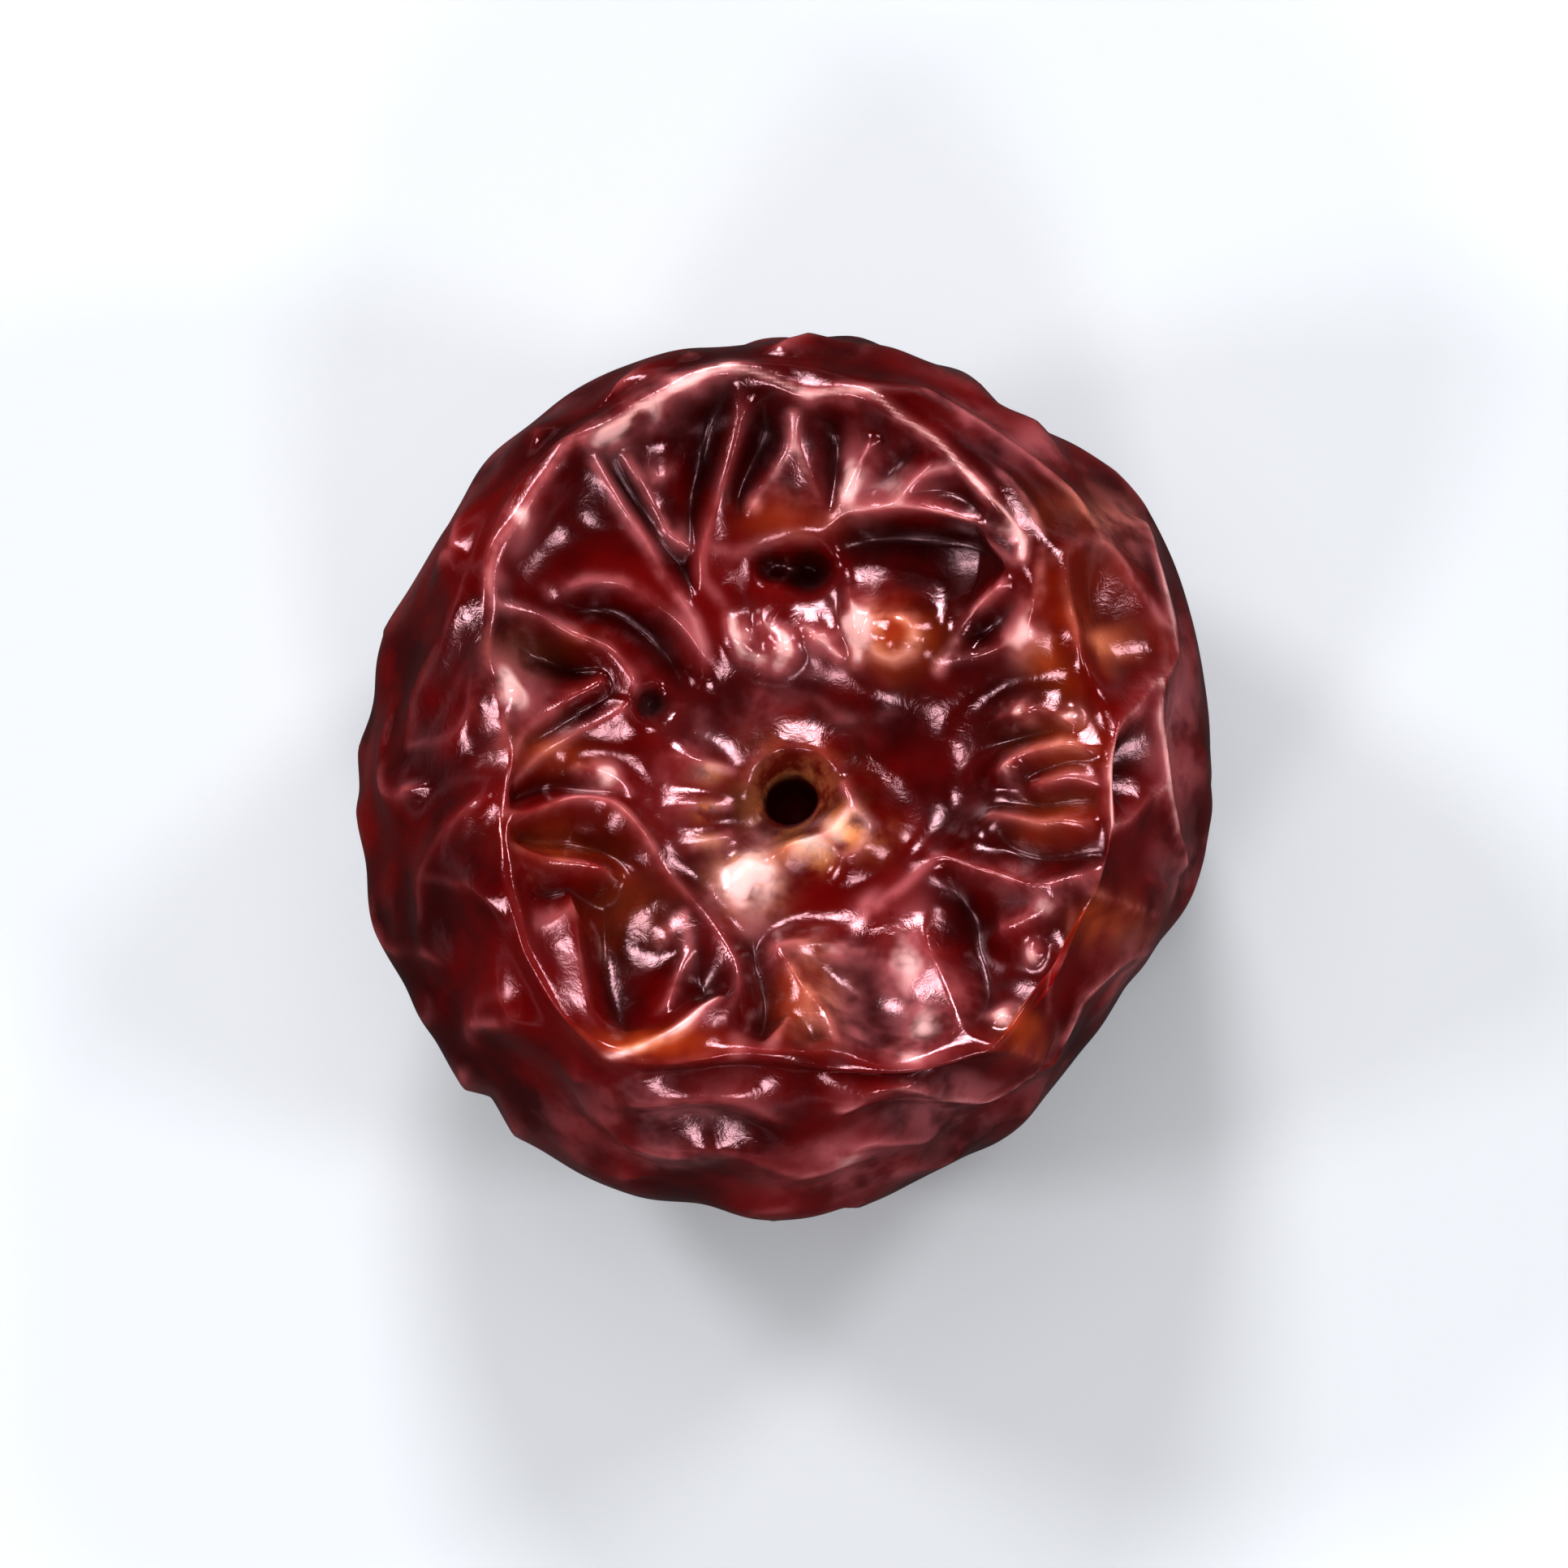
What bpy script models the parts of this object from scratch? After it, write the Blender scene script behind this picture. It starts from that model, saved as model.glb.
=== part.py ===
"""One dried, pitted cherry, lying on its blossom end with the stalk hole up.

The fruit is a squat turned body whose skin has shrunk into sunken facets with raised
folds between them. Metres, +Z up, origin at the middle of its footprint.
"""

import math
import random

import bmesh
import bpy
import numpy as np
from mathutils import Vector, noise

MM = 0.001

# Size of the whole fruit
WIDTH_X = 14.2 * MM
LENGTH_Y = 14.8 * MM
HEIGHT = 9.0 * MM

# Half of the turned section as (radius, height) in millimetres, from the floor of the
# stalk hole, over its lip, the dished face, the rim and the side, to the flat spot
SECTION = [
    (0.00, 5.00),
    (0.30, 5.10),
    (0.38, 5.80),
    (0.43, 6.45),
    (0.78, 6.88),
    (2.10, 7.40),
    (3.50, 8.10),
    (4.60, 8.88),
    (5.50, 8.68),
    (6.40, 7.40),
    (7.00, 5.60),
    (7.05, 4.10),
    (6.60, 2.40),
    (5.60, 1.10),
    (4.20, 0.32),
    (3.00, 0.00),
    (2.40, 0.00),
    (0.00, 0.00),
]
RING_STEP = 0.48 * MM
COLUMNS = 72
# Radii of the section's lip, rim and side, and height of its rim, in millimetres
LIP_RADIUS = 0.43
RIM_RADIUS = 5.0
SIDE_RADIUS = 7.05
RIM_HEIGHT = 8.8
# Everything above this height is the face, the rim or the upper side
FACE_FLOOR = 4.6
# Between these heights the side takes on the shape of the rim
RIM_SPREAD = (3.0, 6.0)

# Radius of the rim and of the outline in millimetres, every 30 degrees from +X to +Y
RIM_BY_ANGLE = [5.4, 5.15, 5.7, 6.1, 5.95, 5.6, 4.75, 5.2, 6.1, 5.85, 6.5, 6.15]
OUTLINE_BY_ANGLE = [7.2, 7.5, 7.5, 7.6, 7.4, 7.25, 7.2, 7.3, 7.5, 7.5, 7.1, 6.9]
# How far the rim dips at those angles, in millimetres
DIP_BY_ANGLE = [0.35, 0.1, 0.0, 0.25, 0.0, 0.2, 0.45, 0.1, 0.25, 0.3, 1.2, 0.6]

# The stalk hole lies off the middle of the face, towards -Y
HOLE_SHIFT = Vector((0.20 * MM, -0.80 * MM, 0.0))
HOLE_REACH = 4.2 * MM

# Middles of the sunken facets of the face as (x, y) in millimetres from the stalk hole
FACE_FACETS = [
    (-0.2, 5.3), (2.0, 5.2), (-2.1, 5.0), (-3.3, 4.2), (-3.6, 2.8), (-4.4, 1.7),
    (-3.5, 0.4), (-3.8, -1.6), (-2.5, -2.9), (-0.2, -3.7), (1.5, -3.0), (3.5, -2.4),
    (3.0, -0.9), (3.8, 0.7), (3.1, 2.1), (1.7, 3.7), (-0.2, 3.6), (0.6, 1.7),
    (-1.2, 1.3), (-2.2, 1.7), (-1.9, -1.3), (-0.2, -1.8), (1.7, -0.4), (3.9, 3.9),
]
FACET_LEVEL = 7.2
FACET_LEVEL_RISE = 1.3
# Rings of facets on the shoulder, side and underside: (radius, height, how many)
SIDE_FACET_RINGS = [
    (6.2, 7.8, 13),
    (7.0, 5.9, 14),
    (7.0, 3.9, 14),
    (6.4, 2.0, 13),
    (4.6, 0.4, 9),
]
FACET_JITTER = 0.5
FACET_SEED = 7
FACET_DEPTH = 0.42 * MM
FACET_RADIUS = 1.35
FOLD_ROUNDNESS = 0.30
UPRIGHT_STRETCH = 0.75
SWELL_DEPTH = 0.30 * MM
SWELL_SIZE = 3.4 * MM

# Nothing sinks inside the lip of the stalk hole or on the flat spot
LIP_RADII = (0.7 * MM, 1.6 * MM)
FLAT_SPOT_RADII = (3.1 * MM, 4.3 * MM)

SKIN_COLOUR = (0.19, 0.012, 0.014, 1.0)
SKIN_ROUGHNESS = 0.3


def smoothstep(low, high, value):
    share = min(1.0, max(0.0, (value - low) / (high - low)))
    return share * share * (3.0 - 2.0 * share)


def catmull_rom(before, start, end, after, share):
    """A point of the smooth curve between start and end."""
    squared, cubed = share**2, share**3
    return 0.5 * (
        2.0 * start
        + (end - before) * share
        + (2.0 * before - 5.0 * start + 4.0 * end - after) * squared
        + (3.0 * start - before - 3.0 * end + after) * cubed
    )


def section_points():
    """The section as a smooth run of points about RING_STEP apart, both ends on the axis."""
    corners = [Vector(corner) * MM for corner in SECTION]
    corners = [corners[0], *corners, corners[-1]]
    points = []
    for i in range(1, len(corners) - 2):
        steps = max(1, round((corners[i + 1] - corners[i]).length / RING_STEP))
        for step in range(steps):
            points.append(catmull_rom(*corners[i - 1 : i + 3], step / steps))
    points.append(corners[-1])
    return [Vector((max(p.x, 0.0), max(p.y, 0.0))) for p in points]


def turned_body():
    """The section spun into a closed body of revolution."""
    body = bmesh.new()
    section = [body.verts.new((p.x, 0.0, p.y)) for p in section_points()]
    edges = [body.edges.new(pair) for pair in zip(section, section[1:])]
    bmesh.ops.spin(
        body,
        geom=section + edges,
        cent=(0.0, 0.0, 0.0),
        axis=(0.0, 0.0, 1.0),
        angle=math.tau,
        steps=COLUMNS,
        use_merge=True,
    )
    bmesh.ops.remove_doubles(body, verts=body.verts, dist=0.001 * MM)
    bmesh.ops.recalc_face_normals(body, faces=body.faces)
    body.normal_update()
    return body


def facet_middles():
    """The middles of all facets: those of the face by hand, the others in uneven rings."""
    chance = random.Random(FACET_SEED)
    rim = max(math.hypot(x, y) for x, y in FACE_FACETS)
    middles = []
    for x, y in FACE_FACETS:
        rise = FACET_LEVEL_RISE * (math.hypot(x, y) / rim) ** 2
        middles.append((x, y, FACET_LEVEL + rise))
    for radius, height, count in SIDE_FACET_RINGS:
        start = chance.uniform(0.0, math.tau)
        for i in range(count):
            angle = start + math.tau * i / count
            spot = (radius * math.cos(angle), radius * math.sin(angle), height)
            middles.append([v + chance.uniform(-FACET_JITTER, FACET_JITTER) for v in spot])
    return np.array(middles)


def facet_sink(points):
    """How deep each point sinks, from 0 on a fold to 1 in the middle of a wide facet."""
    stretch = np.array([1.0, 1.0, UPRIGHT_STRETCH])
    apart = (points[:, None] / MM - facet_middles()[None]) * stretch
    squares = (apart**2).sum(axis=2)
    nearest = squares.min(axis=1)
    shares = np.exp(-(squares - nearest[:, None]) / FOLD_ROUNDNESS)
    bowl = nearest - FOLD_ROUNDNESS * np.log(shares.sum(axis=1))
    return np.clip(1.0 - bowl / FACET_RADIUS**2, 0.0, 1.0)


def crumple(body):
    """Sinks the facets between the folds, and lets broad areas fall in a little."""
    sinks = facet_sink(np.array([v.co for v in body.verts]))
    normals = [v.normal.copy() for v in body.verts]
    for vert, normal, sink in zip(body.verts, normals, sinks):
        point = vert.co.copy()
        radius = math.hypot(point.x, point.y)
        still_radii = LIP_RADII if point.z > FACE_FLOOR * MM else FLAT_SPOT_RADII
        free = smoothstep(*still_radii, radius)
        swell = SWELL_DEPTH * abs(noise.noise(point / SWELL_SIZE + Vector((3.1, 0.0, 5.7))))
        vert.co -= normal * free * (FACET_DEPTH * sink + swell)


def around(values, angle):
    """A value given at even steps of angle, read along a smooth closed curve."""
    place = angle / math.tau * len(values)
    first = math.floor(place)
    four = [values[(first + step) % len(values)] for step in (-1, 0, 1, 2)]
    return catmull_rom(*four, place - first)


def shaped_radius(radius, height, angle):
    """The radius of a point of the turned body once the rim and outline have their shape."""
    rim, outline = around(RIM_BY_ANGLE, angle), around(OUTLINE_BY_ANGLE, angle)
    lower = radius * outline / SIDE_RADIUS
    if height < FACE_FLOOR:
        return lower
    if radius < RIM_RADIUS:
        stretch = (rim / RIM_RADIUS - 1.0) * smoothstep(LIP_RADIUS, RIM_RADIUS, radius)
        upper = radius * (1.0 + stretch)
    else:
        upper = rim + (radius - RIM_RADIUS) * (outline - rim) / (SIDE_RADIUS - RIM_RADIUS)
    return lower + (upper - lower) * smoothstep(*RIM_SPREAD, height)


def shape_rim_and_outline(body):
    """Gives the rim and the outline their radius at each angle, and lets the rim dip."""
    for vert in body.verts:
        radius, height = math.hypot(vert.co.x, vert.co.y) / MM, vert.co.z / MM
        angle = math.atan2(vert.co.y, vert.co.x)
        reach = shaped_radius(radius, height, angle) * MM
        near_rim = smoothstep(FACE_FLOOR, RIM_HEIGHT, height)
        near_rim *= smoothstep(LIP_RADIUS, RIM_RADIUS, radius)
        drop = near_rim * around(DIP_BY_ANGLE, angle) * MM
        vert.co = Vector((reach * math.cos(angle), reach * math.sin(angle), vert.co.z - drop))


def shift_hole(body):
    """Moves the stalk hole off the middle of the face, and leaves the rim in place."""
    for vert in body.verts:
        inwards = 1.0 - smoothstep(0.0, HOLE_REACH, math.hypot(vert.co.x, vert.co.y))
        if vert.co.z > FACE_FLOOR * MM:
            vert.co += HOLE_SHIFT * inwards


def fit_to_size(body):
    """Brings the body to its stated size, centred over the origin and standing on it."""
    points = np.array([v.co for v in body.verts])
    low, high = points.min(axis=0), points.max(axis=0)
    scale = np.array([WIDTH_X, LENGTH_Y, HEIGHT]) / (high - low)
    middle = (low + high) / 2.0
    middle[2] = low[2]
    for vert in body.verts:
        vert.co = Vector((np.array(vert.co) - middle) * scale)


def skin_material():
    material = bpy.data.materials.new("cherry_skin")
    material.use_nodes = True
    shader = material.node_tree.nodes["Principled BSDF"]
    shader.inputs["Base Color"].default_value = SKIN_COLOUR
    shader.inputs["Roughness"].default_value = SKIN_ROUGHNESS
    shader.inputs["Metallic"].default_value = 0.0
    return material


def dried_cherry():
    body = turned_body()
    crumple(body)
    shape_rim_and_outline(body)
    shift_hole(body)
    fit_to_size(body)
    mesh = bpy.data.meshes.new("dried_cherry")
    body.to_mesh(mesh)
    body.free()
    mesh.shade_smooth()
    mesh.materials.append(skin_material())
    cherry = bpy.data.objects.new("dried_cherry", mesh)
    bpy.context.scene.collection.objects.link(cherry)


for old in list(bpy.data.objects):
    bpy.data.objects.remove(old)
dried_cherry()
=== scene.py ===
"""Looks of one dried cherry: its folded skin, the stalk hole with its torn flesh, and a studio.

Shapes are worked out in millimetres and scaled to metres when the mesh is made.
"""

import math

import bpy
import numpy as np
from mathutils import Matrix, Vector, noise


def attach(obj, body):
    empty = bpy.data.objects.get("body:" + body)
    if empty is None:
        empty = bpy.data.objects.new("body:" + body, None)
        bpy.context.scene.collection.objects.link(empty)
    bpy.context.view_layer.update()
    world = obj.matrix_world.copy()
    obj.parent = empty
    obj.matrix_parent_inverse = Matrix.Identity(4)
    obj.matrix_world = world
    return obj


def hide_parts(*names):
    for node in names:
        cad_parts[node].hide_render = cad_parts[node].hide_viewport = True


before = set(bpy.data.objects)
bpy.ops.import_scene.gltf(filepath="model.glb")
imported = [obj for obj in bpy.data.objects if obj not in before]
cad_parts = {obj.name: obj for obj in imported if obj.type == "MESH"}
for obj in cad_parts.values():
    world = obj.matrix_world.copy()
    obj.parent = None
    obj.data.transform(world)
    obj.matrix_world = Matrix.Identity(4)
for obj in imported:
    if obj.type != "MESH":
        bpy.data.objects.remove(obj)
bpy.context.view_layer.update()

# Metres in a millimetre
MM = 0.001
# Keeps divisions away from zero
TINY = 1e-9

# Size of the whole fruit
WIDTH_X = 14.2
LENGTH_Y = 14.8
HEIGHT = 9.0

# Half of the section as (radius, height), from the floor of the stalk hole, over its lip,
# the dished face, the rim and the side, to the flat spot that the fruit lies on
SECTION = [
    (0.00, 5.00), (0.30, 5.10), (0.38, 5.80), (0.43, 6.45), (0.78, 6.88), (2.10, 7.40),
    (3.50, 8.10), (4.60, 8.88), (5.50, 8.68), (6.40, 7.40), (7.00, 5.60), (7.05, 4.10),
    (6.60, 2.40), (5.60, 1.10), (4.20, 0.32), (3.00, 0.02), (2.40, 0.00), (0.00, 0.00),
]
SECTION_STEPS = 40
LIP_CORNER = 3
# Radii of the section's rim and side, and height of its rim
RIM_RADIUS = 5.0
SIDE_RADIUS = 7.05
RIM_HEIGHT = 8.8
# Everything above this height is the face, the rim or the upper side
FACE_FLOOR = 4.6
# Between these heights the side takes on the shape of the rim
RIM_SPREAD = (3.0, 6.0)
# The stalk hole lies off the middle, and the face within this reach goes with it
HOLE_SHIFT = (0.20, -0.80)
HOLE_REACH = 4.2

# Radius of the rim and of the outline, every 30 degrees from +X towards +Y
RIM_BY_ANGLE = [5.4, 5.15, 5.7, 6.1, 5.95, 5.6, 4.75, 5.2, 6.1, 5.85, 6.5, 6.15]
OUTLINE_BY_ANGLE = [7.2, 7.5, 7.5, 7.6, 7.4, 7.25, 7.2, 7.3, 7.5, 7.5, 7.1, 6.9]
# How far the rim dips at those angles
DIP_BY_ANGLE = [0.35, 0.1, 0.0, 0.25, 0.0, 0.2, 0.45, 0.1, 0.25, 0.3, 1.2, 0.6]

# Quads along each side of the six patches that cover the fruit
PATCH_QUADS = 128
# Corners of the section, and where they lie between the grid's poles: the floor of the hole,
# its lip, the rim, the side and the flat spot
SECTION_STOPS = [0, 3, 8, 11, 16, 17]
POLAR_STOPS = [0.0, 0.12, 1.34, 2.04, 2.88, math.pi]


def smoothstep(low, high, values):
    share = np.clip((values - low) / (high - low), 0.0, 1.0)
    return share * share * (3.0 - 2.0 * share)


def catmull_rom(points, steps):
    """Points of the smooth curve through the given ones, with so many steps between two."""
    points = np.array(points, float)
    padded = np.vstack([points[:1], points, points[-1:]])
    share = (np.arange(steps) / steps)[:, None]
    curve = []
    for before, start, end, after in zip(padded, padded[1:], padded[2:], padded[3:]):
        stretch = (
            2.0 * start
            + (end - before) * share
            + (2.0 * before - 5.0 * start + 4.0 * end - after) * share**2
            + (3.0 * start - before - 3.0 * end + after) * share**3
        )
        curve.append(0.5 * stretch)
    return np.vstack([*curve, points[-1:]])


def patch_grid():
    """Directions of a sphere's six square patches of quads, and the quads."""
    steps = np.tan(np.linspace(-1.0, 1.0, PATCH_QUADS + 1) * math.pi / 4.0)
    across, up = np.meshgrid(steps, steps, indexing="ij")
    ones = np.ones_like(across)
    sides = [
        (ones, across, up),
        (-ones, -across, up),
        (-across, ones, up),
        (across, -ones, up),
        (-up, across, ones),
        (up, across, -ones),
    ]
    points = np.concatenate([np.stack(side, axis=-1).reshape(-1, 3) for side in sides])
    points /= np.linalg.norm(points, axis=1)[:, None]
    row = PATCH_QUADS + 1
    first = (np.arange(PATCH_QUADS)[:, None] * row + np.arange(PATCH_QUADS)).reshape(-1)
    square = np.stack([first, first + row, first + row + 1, first + 1], axis=1)
    quads = np.concatenate([square + side * row * row for side in range(len(sides))])
    rounded = np.round(points, 7) + 0.0
    _, kept, index = np.unique(rounded, axis=0, return_index=True, return_inverse=True)
    return points[kept], index.reshape(-1)[quads]


def around(values, angles):
    """Values given at even steps of angle, read at any angle along a smooth closed curve."""
    loop = np.array(values + values[:3], float)[:, None]
    curve = catmull_rom(loop, SECTION_STEPS)[:, 0]
    turn = (angles / math.tau) % 1.0
    at = ((turn * len(values) - 1.0) % len(values) + 1.0) * SECTION_STEPS
    return np.interp(at, np.arange(len(curve)), curve)


def shaped_radius(radius, height, angle):
    """The radius of the section's points once the rim and the outline have their shape."""
    rim = around(RIM_BY_ANGLE, angle)
    outline = around(OUTLINE_BY_ANGLE, angle)
    lip = SECTION[LIP_CORNER][0]
    on_face = radius * (1.0 + (rim / RIM_RADIUS - 1.0) * smoothstep(lip, RIM_RADIUS, radius))
    past_rim = rim + (radius - RIM_RADIUS) * (outline - rim) / (SIDE_RADIUS - RIM_RADIUS)
    upper = np.where(radius < RIM_RADIUS, on_face, past_rim)
    lower = radius * outline / SIDE_RADIUS
    spread = smoothstep(*RIM_SPREAD, height)
    return np.where(height > FACE_FLOOR, upper * spread + lower * (1.0 - spread), lower)


def smooth_body(directions):
    """The fruit before its skin folds, one point for each direction, and its run down it."""
    curve = catmull_rom(SECTION, SECTION_STEPS)
    curve[:, 0] = np.maximum(curve[:, 0], 0.0)
    steps = np.linalg.norm(np.diff(curve, axis=0), axis=1)
    length = np.concatenate([[0.0], np.cumsum(steps)])
    corners = length[::SECTION_STEPS]
    polar = np.arccos(np.clip(directions[:, 2], -1.0, 1.0))
    run = np.interp(polar, POLAR_STOPS, corners[SECTION_STOPS])
    radius = np.interp(run, length, curve[:, 0])
    height = np.interp(run, length, curve[:, 1])
    angle = np.arctan2(directions[:, 1], directions[:, 0])
    near_rim = smoothstep(FACE_FLOOR, RIM_HEIGHT, height)
    near_rim *= smoothstep(SECTION[LIP_CORNER][0], RIM_RADIUS, radius)
    radius = shaped_radius(radius, height, angle)
    height = height - near_rim * around(DIP_BY_ANGLE, angle)
    points = np.stack([radius * np.cos(angle), radius * np.sin(angle), height], axis=1)
    inwards = (1.0 - smoothstep(0.0, HOLE_REACH, radius)) * (height > FACE_FLOOR)
    points[:, :2] += np.array(HOLE_SHIFT) * inwards[:, None]
    return points, run - corners[LIP_CORNER]


def face_crosses(points, quads):
    """Vectors that point out of the quads, as long as twice their area."""
    corners = points[quads]
    return np.cross(corners[:, 2] - corners[:, 0], corners[:, 3] - corners[:, 1])


def face_normals(points, quads):
    crosses = face_crosses(points, quads)
    return crosses / np.linalg.norm(crosses, axis=1)[:, None]


def gathered(index, vectors, count):
    """For each of so many places, the sum of the vectors whose index names it."""
    return np.stack([np.bincount(index, values, count) for values in vectors.T], axis=1)


def point_normals(points, quads):
    crosses = face_crosses(points, quads)
    normals = np.zeros_like(points)
    for corner in range(4):
        normals += gathered(quads[:, corner], crosses, len(points))
    return normals / np.linalg.norm(normals, axis=1)[:, None]


# The camera looks from this far off straight down: towards -Y and towards +X, in degrees
VIEW_LEAN_BACK = 15.0
VIEW_LEAN_SIDE = 4.0
# Width of the frame at the fruit
FRAME_SIZE = 26.0

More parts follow.
